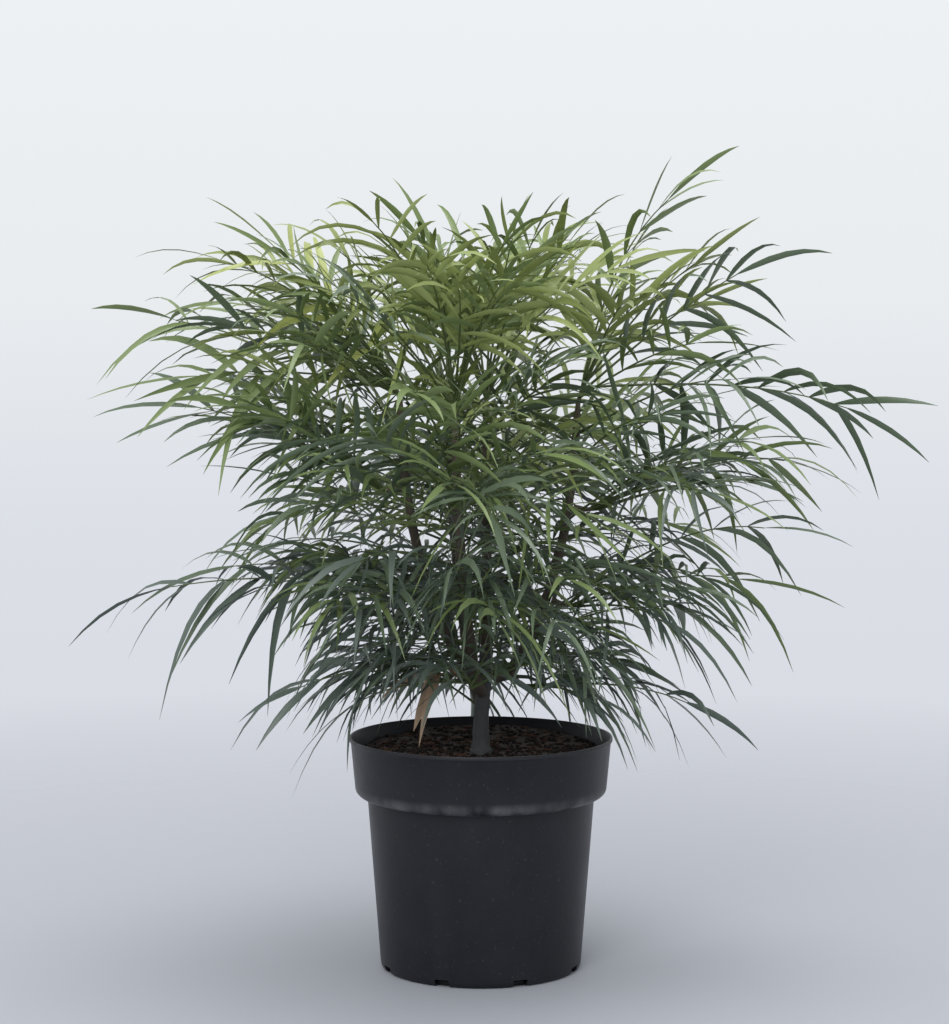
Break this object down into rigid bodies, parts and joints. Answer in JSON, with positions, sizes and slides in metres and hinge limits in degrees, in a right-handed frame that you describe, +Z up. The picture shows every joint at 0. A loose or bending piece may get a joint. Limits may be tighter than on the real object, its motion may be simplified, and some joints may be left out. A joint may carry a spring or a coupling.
{
  "type": "potted mahonia shrub",
  "caption": "Young narrow-leaved evergreen shrub with several upright canes and arching feathered leaves, in a round plastic nursery pot.",
  "frame": {"origin": "middle of the flat underside of the pot", "axes": "+Z up the plant, -Y towards the side that the picture shows, +X to the right in the picture"},
  "size_m": [0.6267, 0.5522, 0.6083],
  "materials": {
    "pot": "matte black moulded plastic",
    "soil": "dark crumbly compost",
    "bark": "grey-brown ridged bark",
    "foliage": "satin dark green leaves",
    "dead_leaves": "dry tan leaves"
  },
  "bodies": {
    "root": {"pot": "pot", "soil": "soil", "main_stem": "bark", "cane_centre": "bark", "cane_left": "bark", "cane_right": "bark", "cane_front": "bark", "cane_back": "bark", "tuft_top": "foliage", "tuft_crown_left": "foliage", "tuft_crown_right": "foliage", "tuft_crown_front": "foliage", "tuft_crown_back": "foliage", "tuft_shoulder_left": "foliage", "tuft_shoulder_right": "foliage", "tuft_shoulder_front": "foliage", "tuft_shoulder_back": "foliage", "tuft_middle_left": "foliage", "tuft_middle_right": "foliage", "tuft_middle_front": "foliage", "tuft_middle_back": "foliage", "tuft_low_left": "foliage", "tuft_low_right": "foliage", "tuft_low_front": "foliage", "tuft_low_back": "foliage", "tuft_withered": "dead_leaves"}
  },
  "joints": []
}
